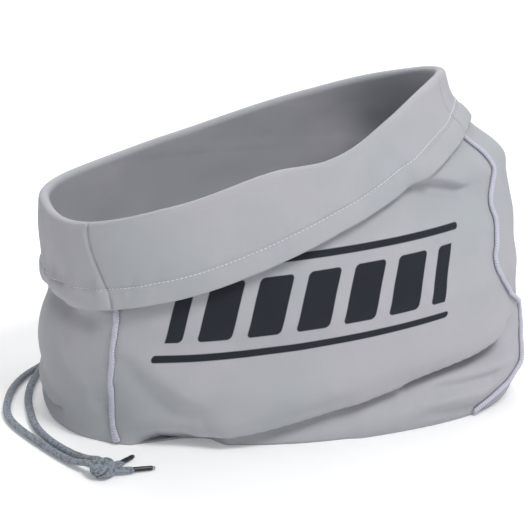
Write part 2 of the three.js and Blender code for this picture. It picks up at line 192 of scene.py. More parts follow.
def wrapped_tube(name, steps, round_steps, yarn_point):
    """A grid wrapped to a closed tube. yarn_point gives each point and how high its yarn stands."""
    mesh = bmesh.new()
    mesh.loops.layers.uv.new("UVMap")
    bmesh.ops.create_grid(mesh, x_segments=steps, y_segments=round_steps, size=1, calc_uvs=True)
    height_layer = mesh.verts.layers.float.new("yarn_height")
    for vertex in mesh.verts:
        place = round((vertex.co.x + 1) / 2 * steps)
        turn = round((vertex.co.y + 1) / 2 * round_steps) % round_steps
        vertex.co, vertex[height_layer] = yarn_point(place, turn)
    bmesh.ops.remove_doubles(mesh, verts=mesh.verts, dist=merge_distance)
    rim = [edge for edge in mesh.edges if edge.is_boundary]
    bmesh.ops.holes_fill(mesh, edges=rim, sides=0)
    bmesh.ops.recalc_face_normals(mesh, faces=mesh.faces)
    return finished_piece(name, mesh)


def finished_piece(name, mesh):
    """Turns a bmesh into a smooth object of the scene at the origin."""
    data = bpy.data.meshes.new(name)
    mesh.to_mesh(data)
    mesh.free()
    piece = bpy.data.objects.new(name, data)
    bpy.context.scene.collection.objects.link(piece)
    for face in data.polygons:
        face.use_smooth = True
    return piece


def new_material(name, constants):
    """A material with its node tree and its surface shader, on which the constants are set."""
    material = bpy.data.materials.new(name)
    material.use_nodes = True
    tree = material.node_tree
    surface = tree.nodes["Principled BSDF"]
    for label, value in constants.items():
        surface.inputs[label].default_value = value
    return material, tree, surface


def add_node(tree, kind, **settings):
    node = tree.nodes.new(kind)
    for key, value in settings.items():
        setattr(node, key, value)
    return node


def object_place(tree):
    return add_node(tree, "ShaderNodeTexCoord").outputs["Object"]


def math_node(tree, operation, first, second=None):
    """A Math node whose inputs are sockets or numbers. Returns its output."""
    node = add_node(tree, "ShaderNodeMath", operation=operation)
    for socket, value in zip(node.inputs, (first, second)):
        if value is None:
            continue
        if isinstance(value, (int, float)):
            socket.default_value = value
        else:
            tree.links.new(value, socket)
    return node.outputs[0]


def mix_colours(tree, factor, first, second):
    """Mixes two colours, each a socket or a tuple, by a factor socket or number. Returns the colour."""
    node = add_node(tree, "ShaderNodeMix", data_type="RGBA")
    for socket, value in ((node.inputs[0], factor), (node.inputs[6], first), (node.inputs[7], second)):
        if isinstance(value, (int, float)):
            socket.default_value = value
        elif isinstance(value, tuple):
            socket.default_value = (*value, 1)
        else:
            tree.links.new(value, socket)
    return node.outputs[2]


def noise_value(tree, vector, scale, detail=3.0, roughness=0.5):
    node = add_node(tree, "ShaderNodeTexNoise")
    node.inputs["Scale"].default_value = scale
    node.inputs["Detail"].default_value = detail
    node.inputs["Roughness"].default_value = roughness
    tree.links.new(vector, node.inputs["Vector"])
    return node.outputs["Fac"]


def spread(tree, value, low, high, to_low=0.0, to_high=1.0):
    """Maps a value from one range to another, held at both ends."""
    node = add_node(tree, "ShaderNodeMapRange", clamp=True)
    tree.links.new(value, node.inputs["Value"])
    node.inputs["From Min"].default_value = low
    node.inputs["From Max"].default_value = high
    node.inputs["To Min"].default_value = to_low
    node.inputs["To Max"].default_value = to_high
    return node.outputs["Result"]


def add_bump(tree, surface, height, strength, distance):
    """Small relief from a height, in metres."""
    bump = add_node(tree, "ShaderNodeBump")
    bump.inputs["Strength"].default_value = strength
    bump.inputs["Distance"].default_value = distance
    tree.links.new(height, bump.inputs["Height"])
    tree.links.new(bump.outputs["Normal"], surface.inputs["Normal"])


def braid_material():
    """Heathered grey yarn with lighter and darker filaments and dark flecks, and painted shade that
    darkens the gaps of the braid.
    """
    material, tree, surface = new_material("braided_grey_yarn", {
        "Roughness": 0.9, "Sheen Weight": 0.25, "Sheen Roughness": 0.5, "Specular IOR Level": 0.25,
    })
    place = object_place(tree)
    height = add_node(tree, "ShaderNodeAttribute", attribute_name="yarn_height").outputs["Fac"]
    filaments = noise_value(tree, place, 1800, 2.0, 0.7)
    blotches = noise_value(tree, place, 420, 2.0, 0.6)
    light_yarn, mid_yarn, dark_fleck_and_gap_shade = (0.34, 0.375, 0.43), (0.175, 0.2, 0.235), (0.05, 0.058, 0.072)
    yarn = mix_colours(tree, spread(tree, filaments, 0.35, 0.65), mid_yarn, light_yarn)
    # Dark flecks of the heathered yarn, a real colour of the yarn.
    yarn = mix_colours(tree, spread(tree, blotches, 0.46, 0.66, 0.0, 0.7), yarn, dark_fleck_and_gap_shade)
    # Painted shade: where yarn_height is low, in the gaps of the braid, the yarn is darkened towards the
    # dark colour.
    yarn = mix_colours(tree, spread(tree, height, 0.1, 0.75, 0.62, 0.0), yarn, dark_fleck_and_gap_shade)
    tree.links.new(yarn, surface.inputs["Base Color"])
    add_bump(tree, surface, filaments, 0.5, 0.0002)
    return material


braid_finish = braid_material()
sample_length = braid_cell_length / samples_per_cell
knot_gap = 0.0003
strands = (
    ("cord_outer", "drawcord_outer", outer_route, 131),
    ("cord_inner", "drawcord_inner", inner_route, 92),
)
for name, node, route, angle in strands:
    meeting = metres(route)
    for reach in (knot_reach + cord_diameter, knot_reach + knot_gap):
        meeting.append(knot_middle + level_direction(angle) * reach)
    line = smooth_path(meeting, sample_length)
    strand = braided_tube(name, line, side_directions(line, 30), cord_width, cord_thickness)
    strand.data.materials.append(braid_finish)
    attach(strand, "root")
    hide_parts(node)


# Knot
# One overhand knot tied in both cord ends together. The two cords lie side by side through it and
# are pressed flat where they wrap each other.
knot_major = 0.0042
knot_minor = 0.0031
knot_cord_width = 0.0049
knot_cord_thickness = 0.0041
knot_tilt = Matrix.Rotation(math.radians(24), 3, "X") @ Matrix.Rotation(math.radians(66), 3, "Z")
knot_opening = 0.3
knot_cord_offset = 0.0019
knot_steps = 150
tangent_step = 0.01


def knot_line(offset):
    """One of the two cords through the knot, beside its middle line, with the directions across it."""
    points, across = [], []
    for step in range(knot_steps + 1):
        turn = knot_opening + (2 * math.pi - 2 * knot_opening) * step / knot_steps

        def place(angle):
            radius = knot_major + knot_minor * math.cos(3 * angle)
            return Vector((
                radius * math.cos(2 * angle),
                radius * math.sin(2 * angle),
                knot_minor * math.sin(3 * angle),
            ))

        along = (place(turn + tangent_step) - place(turn - tangent_step)).normalized()
        outward = Vector((
            math.cos(3 * turn) * math.cos(2 * turn), math.cos(3 * turn) * math.sin(2 * turn),
            math.sin(3 * turn),
        ))
        side = along.cross(outward).normalized()
        points.append(knot_tilt @ (place(turn) + side * offset) + knot_middle)
        across.append(knot_tilt @ side)
    return points, across


for name, offset in (
    ("knot_first_cord", -knot_cord_offset), ("knot_second_cord", knot_cord_offset),
):
    line, across = knot_line(offset)
    wrap = braided_tube(name, line, across, knot_cord_width, knot_cord_thickness)
    wrap.data.materials.append(braid_finish)
    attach(wrap, "root")
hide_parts("drawcord_knot")


# Tails and tips
# The two short ends past the knot, flattened and narrowing into moulded black tips with a clear end.
tip_black_length = 0.0145
tip_clear_length = 0.0022
tip_radius = 0.0018
tip_distance = 0.0136
tip_height = 0.0026
tip_dip = 0.045
tip_overlap = 0.001
tail_width = 0.0084
tail_thickness = 0.0036
tail_end_round = 0.0025
tail_in_knot = 0.0035
tail_start_height = 0.0052
tail_middle_height = 0.0034


def tip_materials():
    """Glossy black plastic over the cord end and the clear bead past it."""
    black, tree, surface = new_material("black_tip_plastic", {"Roughness": 0.3})
    place = object_place(tree)
    mottle = noise_value(tree, place, 900, 2.0)
    tint = mix_colours(tree, spread(tree, mottle, 0.3, 0.7), (0.008, 0.009, 0.011), (0.022, 0.024, 0.028))
    tree.links.new(tint, surface.inputs["Base Color"])
    tree.links.new(spread(tree, mottle, 0.3, 0.7, 0.22, 0.42), surface.inputs["Roughness"])
    clear, tree, surface = new_material("clear_tip_plastic", {
        "Roughness": 0.18, "Transmission Weight": 0.35,
    })
    place = object_place(tree)
    haze = noise_value(tree, place, 700, 2.0)
    tint = mix_colours(tree, spread(tree, haze, 0.3, 0.7), (0.42, 0.44, 0.46), (0.62, 0.64, 0.66))
    tree.links.new(tint, surface.inputs["Base Color"])
    return black, clear


def tip_piece(name, start, direction):
    """A round tip along a direction, crimped twice, with its clear end as a second material."""
    mesh = bmesh.new()
    rings = [
        (0.0, 0.80), (0.0004, 0.97), (0.0012, 1.0), (0.0034, 1.0), (0.0040, 0.93), (0.0046, 1.0),
        (0.0100, 0.97), (0.0106, 0.91), (0.0112, 0.96), (tip_black_length - 0.0005, 0.95),
        (tip_black_length, 0.90), (tip_black_length + 0.0002, 0.80),
        (tip_black_length + tip_clear_length - 0.0006, 0.74),
        (tip_black_length + tip_clear_length, 0.45),
    ]
    first = bmesh.ops.create_circle(mesh, cap_ends=True, segments=24, radius=tip_radius * rings[0][1])
    ring_edges = list({edge for vertex in first["verts"] for edge in vertex.link_edges})
    for height, share in rings[1:]:
        grown = bmesh.ops.extrude_edge_only(mesh, edges=ring_edges)["geom"]
        ring_verts = [item for item in grown if isinstance(item, bmesh.types.BMVert)]
        ring_edges = [item for item in grown if isinstance(item, bmesh.types.BMEdge)]
        ring_edges = [edge for edge in ring_edges if all(end in ring_verts for end in edge.verts)]
        for vertex in ring_verts:
            flat = Vector((vertex.co.x, vertex.co.y, 0)).normalized()
            vertex.co = flat * tip_radius * share + Vector((0, 0, height))
    bmesh.ops.holes_fill(mesh, edges=ring_edges, sides=0)
    bmesh.ops.recalc_face_normals(mesh, faces=mesh.faces)
    for face in mesh.faces:
        face.material_index = int(face.calc_center_median().z > tip_black_length)
    turn = direction.to_track_quat("Z", "Y").to_matrix().to_4x4()
    bmesh.ops.transform(mesh, matrix=Matrix.Translation(start) @ turn, verts=mesh.verts)
    return finished_piece(name, mesh)


black_tip, clear_tip = tip_materials()
cord_ends = []
for number, angle in ((1, 42), (2, 1)):
    direction = level_direction(angle)
    tip_start = knot_middle + direction * (knot_reach + tip_distance)
    tip_start.z = tip_height
    tip_direction = (direction - Vector((0, 0, tip_dip))).normalized()
    tail_start = knot_middle + direction * (knot_reach - tail_in_knot)
    tail_start.z = tail_start_height
    middle = tail_start.lerp(tip_start, 0.5)
    middle.z = tail_middle_height
    line = smooth_path([tail_start, middle, tip_start], sample_length)
    across = side_directions(line, 6)
    tail = braided_tube(f"tail_{number}", line, across, tail_width, tail_thickness, tail_end_round)
    tail.data.materials.append(braid_finish)
    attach(tail, "root")
    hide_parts(f"drawcord_tail_{number}")
    tip = tip_piece(f"tip_{number}", tip_start - tip_direction * tip_overlap, tip_direction)
    tip.data.materials.append(black_tip)
    tip.data.materials.append(clear_tip)
    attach(tip, "root")
    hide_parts(f"aglet_{number}")
    cord_ends += [tail, tip]


# Cloth panels
# Two pieces of fine light grey polyester weave, one for the front and one for the back and both ends.
# They make the flat base, the filled body, the rolled mouth edge and the cuff with its doubled hem.
left_reach = 0.188
right_reach = 0.194
front_reach = 0.127
back_reach = 0.125
rim_height = 0.258
cloth_wall = 0.0016
hem_wall = 0.0028
hem_band = 0.015
cuff_width = 0.064
cuff_stand_off = 0.007
cuff_settle_share = 0.67
roll_radius = 0.0034
base_middle = np.array((-0.012, -0.081))
back_round = 2.3
girth = math.pi * (left_reach + right_reach + front_reach + back_reach) / 2


def table(columns, *rows):
    """Rows under named columns, as one array for each column."""
    return {column: np.array(values) for column, values in zip(columns.split(), zip(*rows))}


# Plan of the body by level, in shares of rim_height and of the four reaches
sections = table(
    "level left right front back round_left round_right",
    (0.00, 0.98, 0.95, 0.94, 0.90, 2.3, 2.7),
    (0.02, 0.99, 0.97, 0.95, 0.94, 2.3, 2.7),
    (0.06, 1.00, 0.99, 0.96, 0.97, 2.3, 2.7),
    (0.14, 1.00, 1.00, 0.98, 0.99, 2.2, 2.7),
    (0.24, 1.00, 0.99, 1.00, 1.00, 2.2, 2.6),
    (0.36, 0.97, 0.98, 0.99, 1.00, 2.2, 2.5),
    (0.46, 0.95, 0.98, 0.97, 0.98, 2.3, 2.3),
    (0.56, 0.95, 0.99, 0.94, 0.95, 2.4, 2.1),
    (0.66, 0.94, 0.98, 0.90, 0.92, 2.4, 1.8),
    (0.72, 0.93, 0.97, 0.88, 0.90, 2.4, 1.6),
    (0.80, 0.93, 0.84, 0.85, 0.87, 2.4, 1.5),
    (0.90, 0.89, 0.71, 0.82, 0.84, 2.4, 1.5),
    (1.00, 0.87, 0.66, 0.80, 0.82, 2.4, 1.5),
)
# Mouth edge by turn, a share of a full turn from the +X end towards the back
mouth = table(
    "turn height drop stand",
    (0.00, 0.98, 0.55, 0.8),
    (0.08, 0.93, 0.75, 0.8),
    (0.16, 0.86, 0.90, 1.0),
    (0.25, 0.79, 0.97, 1.0),
    (0.34, 0.72, 0.97, 1.0),
    (0.41, 0.67, 0.97, 0.8),
    (0.49, 0.65, 0.95, 0.7),
    (0.55, 0.64, 0.93, 0.8),
    (0.61, 0.70, 0.98, 1.0),
    (0.69, 0.79, 0.96, 1.1),
    (0.76, 0.82, 0.74, 1.0),
    (0.85, 0.91, 0.70, 0.9),
    (0.93, 0.97, 0.66, 0.85),
)
left_seam_path = table(
    "level turn",
    (0.00, 0.580), (0.10, 0.577), (0.40, 0.582), (0.50, 0.574), (0.62, 0.562), (1.00, 0.558),
)
right_seam_path = table(
    "level turn",
    (0.00, 0.886), (0.10, 0.922), (0.20, 0.946), (0.27, 0.952), (0.35, 0.926),
    (0.45, 0.911), (0.60, 0.928), (0.72, 0.949), (1.00, 0.951),
)
# Folds from one turn and level to another, with lengths in millimetres. rise is the outward lift and
# wide its half width. A lapped fold has a step, its sharpness, and stands out above its line only, with
# a lip that hangs down by droop. bow bends the line up in its middle.
folds = table(
    "from_turn from_level to_turn to_level rise wide step droop bow",
    (0.650, 0.080, 0.900, 0.290, 3.5, 16.0, 0.0, 0.0, 0.0),
    (0.670, 0.020, 0.920, 0.225, -7.5, 12.8, 0.0, 0.0, 0.0),
    (0.790, 0.040, 0.930, 0.120, 4.0, 12.8, 0.0, 0.0, 0.0),
    (0.860, 0.770, 0.940, 0.730, 4.0, 14.4, 0.0, 0.0, 0.0),
    (0.850, 0.690, 0.920, 0.650, -4.5, 14.4, 0.0, 0.0, 0.0),
    (0.535, 0.250, 0.575, 0.080, -4.0, 14.4, 0.0, 0.0, 0.0),
    (0.470, 0.140, 0.530, 0.070, -3.5, 12.8, 0.0, 0.0, 0.0),
    (0.060, 0.260, 0.240, 0.100, -4.5, 16.0, 0.0, 0.0, 0.0),
    (0.200, 0.480, 0.420, 0.300, -4.0, 19.2, 0.0, 0.0, 0.0),
    (0.280, 0.120, 0.440, 0.180, 3.5, 16.0, 0.0, 0.0, 0.0),
    (0.608, 0.000, 0.645, 0.010, -17.0, 12.8, 0.0, 0.0, 0.0),
    (0.430, 0.350, 0.530, 0.370, -5.0, 12.8, 0.0, 0.0, 0.0),
    (0.600, 0.000, 0.640, 0.010, -5.0, 9.5, 0.0, 0.0, 0.0),
    (0.640, 0.045, 0.915, 0.255, 3.6, 11.0, 1.1, 3.5, -7.0),
    (0.780, 0.128, 0.906, 0.243, 1.6, 11.0, 1.6, 1.0, -3.0),
    (0.830, 0.148, 0.916, 0.198, -7.0, 6.5, 0.0, 0.0, 2.0),
    (0.822, 0.136, 0.922, 0.152, 3.4, 5.0, 0.0, 0.0, 2.0),
    (0.855, 0.110, 0.902, 0.116, -4.5, 5.5, 0.0, 0.0, 0.0),
    (0.845, 0.085, 0.892, 0.072, 2.2, 5.0, 0.0, 0.0, 2.0),
    (0.850, 0.052, 0.882, 0.040, -2.2, 4.5, 0.0, 0.0, 0.0),
    (0.872, 0.722, 0.908, 0.688, 2.2, 10.0, 1.8, 1.5, 2.0),
    (0.876, 0.698, 0.902, 0.668, -3.2, 6.0, 0.0, 0.0, 0.0),
    (0.892, 0.380, 0.914, 0.540, 2.4, 10.0, 0.0, 0.0, 0.0),
    (0.540, 0.260, 0.562, 0.110, 3.6, 8.0, 0.0, 0.0, 3.0),
    (0.466, 0.104, 0.522, 0.072, 4.0, 8.0, 1.0, 2.0, 0.0),
    (0.500, 0.372, 0.560, 0.366, -5.5, 9.0, 0.0, 0.0, 0.0),
    (0.588, 0.300, 0.628, 0.176, 3.0, 12.0, 0.0, 0.0, -4.0),
    (0.628, 0.168, 0.780, 0.172, 2.6, 14.0, 0.0, 0.0, 0.0),
    (0.592, 0.250, 0.640, 0.095, -2.6, 9.0, 0.0, 0.0, -5.0),
    (0.120, 0.600, 0.200, 0.440, 2.6, 14.0, 0.0, 0.0, 0.0),
    (0.330, 0.420, 0.400, 0.180, 2.4, 12.0, 0.0, 0.0, 4.0),
    (0.030, 0.180, 0.160, 0.060, 2.2, 9.0, 1.4, 2.0, 0.0),
    (0.980, 0.420, 0.030, 0.300, 2.0, 12.0, 0.0, 0.0, 0.0),
)


def by_level(rows, column, level):
    """Smooth value of one column at a level, held at both ends."""
    keys, values = rows["level"], rows[column]
    last = len(keys) - 1
    held = np.clip(level, keys[0], keys[-1])
    row = np.clip(np.searchsorted(keys, held, side="left") - 1, 0, last - 1)
    share = (held - keys[row]) / (keys[row + 1] - keys[row])
    before, after = values[np.maximum(row - 1, 0)], values[np.minimum(row + 2, last)]
    return smooth_between(before, values[row], values[row + 1], after, share)


def by_turn(rows, column, turn):
    """Smooth value of one column at a turn round the bag."""
    keys, values = rows["turn"], rows[column]
    count = len(keys)
    held = np.mod(turn, 1.0)
    row = np.searchsorted(keys, held, side="right") - 1
    following = (row + 1) % count
    share = (held - keys[row]) / np.mod(keys[following] - keys[row], 1.0)
    before, after = values[(row - 1) % count], values[(row + 2) % count]
    return smooth_between(before, values[row], values[following], after, share)


def plain_plan(turn, level):
    """Plan point of the body before its folds, as two arrays."""
    cosine, sine = np.cos(2 * np.pi * turn), np.sin(2 * np.pi * turn)
    right, back = cosine > 0, sine > 0
    along = np.where(
        right,
        right_reach * by_level(sections, "right", level),
        left_reach * by_level(sections, "left", level),
    )
    across = np.where(
        back,
        back_reach * by_level(sections, "back", level),
        front_reach * by_level(sections, "front", level),
    )
    corner = np.where(
        right, by_level(sections, "round_right", level), by_level(sections, "round_left", level),
    )
    power = np.where(back, back_round, corner)
    radius = ((np.abs(cosine) / along) ** power + (np.abs(sine) / across) ** power) ** (-1 / power)
    return radius * cosine, radius * sine


def fold_relief(turn, level):
    """Outward lift and downward droop of the folds, in metres."""
    lift, droop = np.zeros_like(turn), np.zeros_like(turn)
    held = np.mod(turn, 1.0)
    for row in range(len(folds["rise"])):
        fold = {column: values[row] for column, values in folds.items()}
        run_x = (fold["to_turn"] - fold["from_turn"]) * girth * 1000
        run_z = (fold["to_level"] - fold["from_level"]) * rim_height * 1000
        point_x = (held - fold["from_turn"]) * girth * 1000
        point_z = (level - fold["from_level"]) * rim_height * 1000
        run = math.hypot(run_x, run_z)
        along = (point_x * run_x + point_z * run_z) / run
        middle = np.clip(along / run, 0, 1)
        off_line = (point_z * run_x - point_x * run_z) / run - fold["bow"] * 4 * middle * (1 - middle)
        beyond = np.maximum(0, np.maximum(-along, along - run)) / fold["wide"]
        fade = np.exp(-(off_line / fold["wide"]) ** 2 - beyond ** 2)
        if fold["step"] > 0:
            lift += fold["rise"] * fade * np.tanh(off_line / fold["step"]) / 1000
            lip = np.exp(-((off_line - fold["step"]) / (2.5 * fold["step"])) ** 2 - beyond ** 2)
            droop += fold["droop"] * lip / 1000
        else:
            lift += fold["rise"] * fade / 1000
    return lift, droop


def body_point(turn, level, stand_off):
    """Point of the body at a turn and level, with its folds, a distance off the cloth's middle."""
    step = 0.004
    x, y = plain_plan(turn, level)
    ahead_x, ahead_y = plain_plan(turn + step, level)
    behind_x, behind_y = plain_plan(turn - step, level)
    tangent = np.hypot(ahead_x - behind_x, ahead_y - behind_y)
    out_x, out_y = (ahead_y - behind_y) / tangent, -(ahead_x - behind_x) / tangent
    lift, droop = fold_relief(turn, level)
    shift = lift + stand_off
    return x + out_x * shift, y + out_y * shift, level * rim_height - droop


def cloth_points(turn, place, share):
    """Middle of the cloth at turns on one row. place names the stretch and share runs along it."""
    floor = cloth_wall / 2
    if place == "base":
        edge_x, edge_y, _ = body_point(turn, np.zeros_like(turn), 0)
        x = base_middle[0] + (edge_x - base_middle[0]) * share
        y = base_middle[1] + (edge_y - base_middle[1]) * share
        return np.stack((x, y, np.full_like(turn, floor)), axis=-1)
    top = by_turn(mouth, "height", turn) * rim_height - roll_radius
    if place == "wall":
        height = floor + (top - floor) * share
        x, y, z = body_point(turn, height / rim_height, 0)
        return np.stack((x, y, np.maximum(z, floor)), axis=-1)
    angle = math.pi * share
    x, y, z = body_point(turn, top / rim_height, roll_radius * (1 - np.cos(angle)))
    return np.stack((x, y, z + roll_radius * np.sin(angle)), axis=-1)


def cuff_points(turn, share):
    """Middle of the turned-down cuff at turns, each with its share of the way to the hem's edge."""
    top = by_turn(mouth, "height", turn) * rim_height - roll_radius
    drop = by_turn(mouth, "drop", turn) * cuff_width
    stand = by_turn(mouth, "stand", turn) * cuff_stand_off
    settled = np.minimum(1.0, share / cuff_settle_share)
    stand_off = 2 * roll_radius + (stand - 2 * roll_radius) * settled
    return np.stack(body_point(turn, (top - drop * share) / rim_height, stand_off), axis=-1)


print_turn = 0.741
print_level = 0.438
panel_columns = 232
base_rows = 8
wall_rows = 136
roll_rows = 8
cuff_rows = 36
hem_rows = 14
seam_passes = 6


def cloth_rows():
    """Rows of the cloth from the middle of the base to the hem's edge, as stretch and share."""
    rows = [("base", row / base_rows) for row in range(base_rows)]
    rows += [("wall", row / wall_rows) for row in range(wall_rows + 1)]
    rows += [("roll", row / roll_rows) for row in range(1, roll_rows)]
    rows += [("cuff", row / cuff_rows) for row in range(cuff_rows)]
    rows += [("hem", row / hem_rows) for row in range(hem_rows + 1)]
    return rows


def rows_of(rows, *stretches):
    return [index for index, row in enumerate(rows) if row[0] in stretches]


def row_points(turn, row):
    """Middle of the cloth on one row. The cuff ends at the stitch line, where the doubled hem begins."""
    stretch, share = row
    if stretch in ("cuff", "hem"):
        drop = by_turn(mouth, "drop", turn) * cuff_width
        stitched = 1 - hem_band / drop
        reached = stitched * share if stretch == "cuff" else stitched + (1 - stitched) * share
        return cuff_points(turn, reached)
    return cloth_points(turn, stretch, np.full_like(turn, share))


def seam_turn(path, row):
    """Turn at which a side seam crosses a row."""
    turn = np.array([path["turn"][0]])
    for _ in range(seam_passes):
        turn = by_level(path, "turn", row_points(turn, row)[:, 2] / rim_height)
    return turn[0]


def ripple(places, length, seed):
    """Smooth noise in -1 to 1 along a line of places, in metres."""
    return np.array([noise.noise(Vector((place / length, seed, 0.37 * seed))) for place in places])


def cloth_noise(points, length, seed):
    """Smooth noise in -1 to 1 over an array of points, in metres."""
    shift = Vector((seed * 7.3, seed * 3.1, seed * 5.7))
    flat = points.reshape(-1, 3)
    values = [noise.noise(Vector(point) / length + shift) for point in flat]
    return np.array(values).reshape(points.shape[:-1])


def panel_grid(panel):
    """Middle of one panel by row and column, with its outward directions and its lengths on the cloth."""
    rows = cloth_rows()
    share = np.linspace(0, 1, panel_columns + 1)
    grid, turns = [], []
    for row in rows:
        left, right = seam_turn(left_seam_path, row), seam_turn(right_seam_path, row)
        if panel == "front":
            turn = left + (right - left) * share
        else:
            turn = right - 1 + (left - right + 1) * share
        turns.append(turn)
        grid.append(row_points(turn, row))
    grid = np.array(grid)
    across = np.gradient(grid, axis=1)
    up = np.gradient(grid, axis=0)
    outward = np.cross(across, up)
    size = np.linalg.norm(outward, axis=-1, keepdims=True)
    outward = outward / np.maximum(size, 1e-12)
    outward[rows_of(rows, "base")] = (0, 0, -1)
    outward[rows_of(rows, "cuff", "hem")] *= -1
    step_round = np.linalg.norm(np.diff(grid, axis=1), axis=-1)
    round_length = np.concatenate((np.zeros((len(rows), 1)), np.cumsum(step_round, axis=1)), axis=1)
    step_up = np.linalg.norm(np.diff(grid, axis=0), axis=-1)
    up_length = np.concatenate((np.zeros((1, panel_columns + 1)), np.cumsum(step_up, axis=0)), axis=0)
    return rows, grid, outward, np.array(turns), round_length, up_length


wave_height, wave_length = 0.0011, 0.055
dimple_height, dimple_length = 0.0004, 0.021
pucker_height, pucker_length, pucker_reach = 0.0007, 0.006, 0.009
stitch_dent, stitch_dent_reach = 0.0006, 0.0012
join_dent, join_dent_reach = 0.0010, 0.0011
gather_height, gather_turn, gather_spread = 0.0026, 0.545, 0.045
crinkle_height, crinkle_turn, crinkle_spread = 0.0022, 0.54, 0.05
gather_reach = 0.009
hem_crown = 0.0009


def bell(distance, reach):
    return np.exp(-(distance / reach) ** 2)


def fine_relief(rows, grid, turns, round_length, up_length):
    """Outward lift of the small forms: soft undulation, puckers at seams and stitches, and the hem."""
    lift = wave_height * cloth_noise(grid, wave_length, 1.0)
    lift = lift + dimple_height * cloth_noise(grid, dimple_length, 2.0)
    lift *= np.clip((grid[..., 2] - 0.004) / 0.02, 0, 1)
    to_seam = np.minimum(round_length, round_length[:, -1:] - round_length)
    for index, (stretch, share) in enumerate(rows):
        if stretch in ("base", "roll"):
            lift[index] = 0
        elif stretch == "wall":
            lift[index] *= min(1.0, (1 - share) / 0.08)
            pucker = noise.noise(Vector((up_length[index, 0] / pucker_length, 3.1, 0)))
            lift[index] += pucker_height * pucker * bell(to_seam[index], pucker_reach)
        elif stretch in ("cuff", "hem"):
            lift[index] *= min(1.0, share / 0.25) if stretch == "cuff" else 1
            to_edge = up_length[-1] - up_length[index]
            to_stitch = to_edge - hem_band
            pull = ripple(turns[index] * girth, 0.006, 4.0)
            pull += 0.6 * ripple(turns[index] * girth, 0.0145, 5.0)
            gathered = 0.0003 + gather_height * bell(turns[index] - gather_turn, gather_spread)
            lift[index] += gathered * pull * bell(to_stitch, gather_reach)
            lift[index] -= stitch_dent * bell(to_stitch, stitch_dent_reach)
            lift[index] -= join_dent * bell(to_seam[index], join_dent_reach)
            fine = ripple(turns[index] * girth, 0.0042, 6.0)
            in_hem = bell(to_edge - 0.6 * hem_band, gather_reach)
            near_join = bell(turns[index] - crinkle_turn, crinkle_spread)
            lift[index] += crinkle_height * fine * in_hem * near_join
            if stretch == "hem":
                lift[index] += hem_crown * np.sin(math.pi * np.clip(to_edge / hem_band, 0, 1)) ** 0.8
    return lift


def print_lengths(rows, grid, turns, round_length, up_length):
    """Lengths on the cloth to the right of the print's middle and up from it."""
    walls = rows_of(rows, "wall")
    aside, above = np.empty_like(round_length), np.empty_like(up_length)
    for index in range(len(rows)):
        aside[index] = round_length[index] - np.interp(print_turn, turns[index], round_length[index])
    for column in range(panel_columns + 1):
        start = np.interp(print_level * rim_height, grid[walls, column, 2], up_length[walls, column])
        above[:, column] = up_length[:, column] - start
    return aside, above


def cloth_panel(name, panel):
    """One panel as a wrapped grid with real thickness, thicker in its doubled hem."""
    rows, grid, outward, turns, round_length, up_length = panel_grid(panel)
    aside, above = print_lengths(rows, grid, turns, round_length, up_length)
    grid = grid + outward * fine_relief(rows, grid, turns, round_length, up_length)[..., None]
    mesh = bmesh.new()
    lengths = mesh.loops.layers.uv.new("UVMap")
    from_print = mesh.loops.layers.uv.new("print_lengths")
    deform = mesh.verts.layers.deform.new()
    last_row = len(rows) - 1
    bmesh.ops.create_grid(mesh, x_segments=panel_columns, y_segments=last_row, size=1, calc_uvs=False)
    places = {}
    for vertex in mesh.verts:
        column = round((vertex.co.x + 1) / 2 * panel_columns)
        row = round((vertex.co.y + 1) / 2 * last_row)
        places[vertex] = (row, column)
        vertex.co = grid[row, column]
    for face in mesh.faces:
        for loop in face.loops:
            row, column = places[loop.vert]
            loop[lengths].uv = (turns[row, column] * girth, up_length[row, column])
            loop[from_print].uv = (aside[row, column], above[row, column])
    doubled = rows_of(rows, "hem")[1:]
    for vertex, (row, _) in places.items():
        vertex[deform][0] = 1.0 if row in doubled else cloth_wall / hem_wall
    bmesh.ops.remove_doubles(mesh, verts=mesh.verts, dist=merge_distance)
    piece = finished_piece(name, mesh)
    piece.vertex_groups.new(name="thickness")
    wall = piece.modifiers.new("wall", "SOLIDIFY")
    wall.thickness = hem_wall
    wall.offset = 0
    wall.vertex_group = "thickness"
    wall.material_offset = 1
    wall.material_offset_rim = 1
    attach(piece, "root")
    return piece, rows, grid, outward


weave_pitch = 0.0005
print_slant = 4


def weave_group():
    """Plain weave from lengths on the cloth: its height and a little uneven yarn shade."""
    group = bpy.data.node_groups.new("plain_weave", "ShaderNodeTree")
    group.interface.new_socket("Lengths", in_out="INPUT", socket_type="NodeSocketVector")
    group.interface.new_socket("Height", in_out="OUTPUT", socket_type="NodeSocketFloat")
    group.interface.new_socket("Shade", in_out="OUTPUT", socket_type="NodeSocketFloat")
    entry, leave = group.nodes.new("NodeGroupInput"), group.nodes.new("NodeGroupOutput")
    parts = add_node(group, "ShaderNodeSeparateXYZ")
    group.links.new(entry.outputs["Lengths"], parts.inputs[0])
    turns = 2 * math.pi / weave_pitch
    warp = math_node(group, "SINE", math_node(group, "MULTIPLY", parts.outputs[0], turns))
    weft = math_node(group, "SINE", math_node(group, "MULTIPLY", parts.outputs[1], turns))
    height = math_node(group, "MULTIPLY", warp, weft)
    group.links.new(height, leave.inputs["Height"])
    yarns = []
    for scale in ((1, 0.06, 1), (0.06, 1, 1)):
        stretched = add_node(group, "ShaderNodeMapping")
        stretched.inputs["Scale"].default_value = scale
        group.links.new(entry.outputs["Lengths"], stretched.inputs["Vector"])
        uneven = noise_value(group, stretched.outputs[0], 900, 2.0, 0.6)
        yarns.append(math_node(group, "MULTIPLY", uneven, 0.5))
    group.links.new(math_node(group, "ADD", *yarns), leave.inputs["Shade"])
    return group


